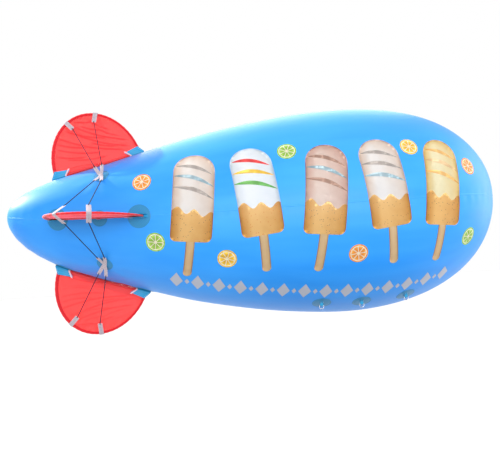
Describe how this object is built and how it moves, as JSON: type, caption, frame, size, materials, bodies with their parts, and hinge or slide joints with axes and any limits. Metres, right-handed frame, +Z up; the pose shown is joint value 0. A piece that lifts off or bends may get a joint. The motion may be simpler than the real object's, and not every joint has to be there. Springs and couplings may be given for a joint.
{
  "type": "advertising blimp balloon",
  "caption": "Helium advertising blimp with a hollow blue envelope, stayed red tail fins, a capped filler valve and swinging tether rings under the belly.",
  "frame": {"origin": "midway between the nose and tail tips, where the air holds it up", "axes": "+X towards the nose, +Y to port, +Z up"},
  "size_m": [4.0029, 1.7906, 1.7903],
  "materials": {
    "envelope": "satin welded PVC film, sky blue with printed artwork panels",
    "patch": "matt reinforcing patch, grey blue",
    "pocket": "coated fabric pocket, teal blue",
    "fin_cloth": "thin ripstop nylon, bright red",
    "fin_sleeve": "doubled ripstop nylon sleeve over a rod, deep red",
    "webbing": "white woven webbing",
    "cord": "braided navy cord",
    "steel": "polished stainless wire",
    "valve": "moulded white plastic"
  },
  "bodies": {
    "hull": {"envelope": "envelope", "nose_patch": "patch", "valve_neck": "valve", "fin_starboard_panel": "fin_cloth", "fin_starboard_frame": "fin_sleeve", "fin_starboard_rear_pocket": "pocket", "fin_starboard_front_pocket": "pocket", "fin_starboard_mid_loop": "patch", "fin_starboard_rear_rim_tab": "webbing", "fin_starboard_front_rim_tab": "webbing", "fin_top_panel": "fin_cloth", "fin_top_frame": "fin_sleeve", "fin_top_rear_pocket": "pocket", "fin_top_front_pocket": "pocket", "fin_top_mid_loop": "patch", "fin_top_rear_rim_tab": "webbing", "fin_top_front_rim_tab": "webbing", "fin_port_panel": "fin_cloth", "fin_port_frame": "fin_sleeve", "fin_port_rear_pocket": "pocket", "fin_port_front_pocket": "pocket", "fin_port_mid_loop": "patch", "fin_port_rear_rim_tab": "webbing", "fin_port_front_rim_tab": "webbing", "fin_bottom_panel": "fin_cloth", "fin_bottom_frame": "fin_sleeve", "fin_bottom_rear_pocket": "pocket", "fin_bottom_front_pocket": "pocket", "fin_bottom_mid_loop": "patch", "fin_bottom_rear_rim_tab": "webbing", "fin_bottom_front_rim_tab": "webbing", "anchor_upper_starboard_patch": "patch", "anchor_upper_starboard_tabs": "webbing", "stay_upper_starboard_to_starboard": "cord", "stay_upper_starboard_to_top": "cord", "anchor_upper_port_patch": "patch", "anchor_upper_port_tabs": "webbing", "stay_upper_port_to_top": "cord", "stay_upper_port_to_port": "cord", "anchor_lower_port_patch": "patch", "anchor_lower_port_tabs": "webbing", "stay_lower_port_to_port": "cord", "stay_lower_port_to_bottom": "cord", "anchor_lower_starboard_patch": "patch", "anchor_lower_starboard_tabs": "webbing", "stay_lower_starboard_to_bottom": "cord", "stay_lower_starboard_to_starboard": "cord", "lug_starboard_rear": "patch", "lug_starboard_middle": "patch", "lug_starboard_front": "patch", "lug_port_rear": "patch", "lug_port_middle": "patch", "lug_port_front": "patch"},
    "cap": {"valve_cap": "valve"},
    "tether_ring_starboard_rear": {"ring_starboard_rear": "steel"},
    "tether_ring_starboard_middle": {"ring_starboard_middle": "steel"},
    "tether_ring_starboard_front": {"ring_starboard_front": "steel"},
    "tether_ring_port_rear": {"ring_port_rear": "steel"},
    "tether_ring_port_middle": {"ring_port_middle": "steel"},
    "tether_ring_port_front": {"ring_port_front": "steel"}
  },
  "joints": [
    {"name": "valve_cap_hinge", "type": "hinge", "parent": "hull", "child": "cap", "pos_m": [-0.72661, 0.56684, 0.23184], "axis": [0.9633, 0.2426, 0.115], "range_deg": [0, 150]},
    {"name": "ring_starboard_rear_swing", "type": "hinge", "parent": "hull", "child": "tether_ring_starboard_rear", "pos_m": [0.39879, -0.37511, -0.81402], "axis": [0.9973, -0.0407, -0.0605], "range_deg": [-130, 85]},
    {"name": "ring_starboard_middle_swing", "type": "hinge", "parent": "hull", "child": "tether_ring_starboard_middle", "pos_m": [0.72045, -0.38229, -0.82096], "axis": [0.9997, -0.0014, 0.0223], "range_deg": [-130, 85]},
    {"name": "ring_starboard_front_swing", "type": "hinge", "parent": "hull", "child": "tether_ring_starboard_front", "pos_m": [1.09124, -0.37097, -0.78823], "axis": [0.9845, 0.0662, 0.1624], "range_deg": [-130, 85]},
    {"name": "ring_port_rear_swing", "type": "hinge", "parent": "hull", "child": "tether_ring_port_rear", "pos_m": [0.39879, 0.37511, -0.81402], "axis": [0.9973, 0.0407, -0.0605], "range_deg": [-85, 130]},
    {"name": "ring_port_middle_swing", "type": "hinge", "parent": "hull", "child": "tether_ring_port_middle", "pos_m": [0.72045, 0.38229, -0.82096], "axis": [0.9997, 0.0014, 0.0223], "range_deg": [-85, 130]},
    {"name": "ring_port_front_swing", "type": "hinge", "parent": "hull", "child": "tether_ring_port_front", "pos_m": [1.09124, 0.37097, -0.78823], "axis": [0.9845, -0.0662, 0.1624], "range_deg": [-85, 130]}
  ]
}
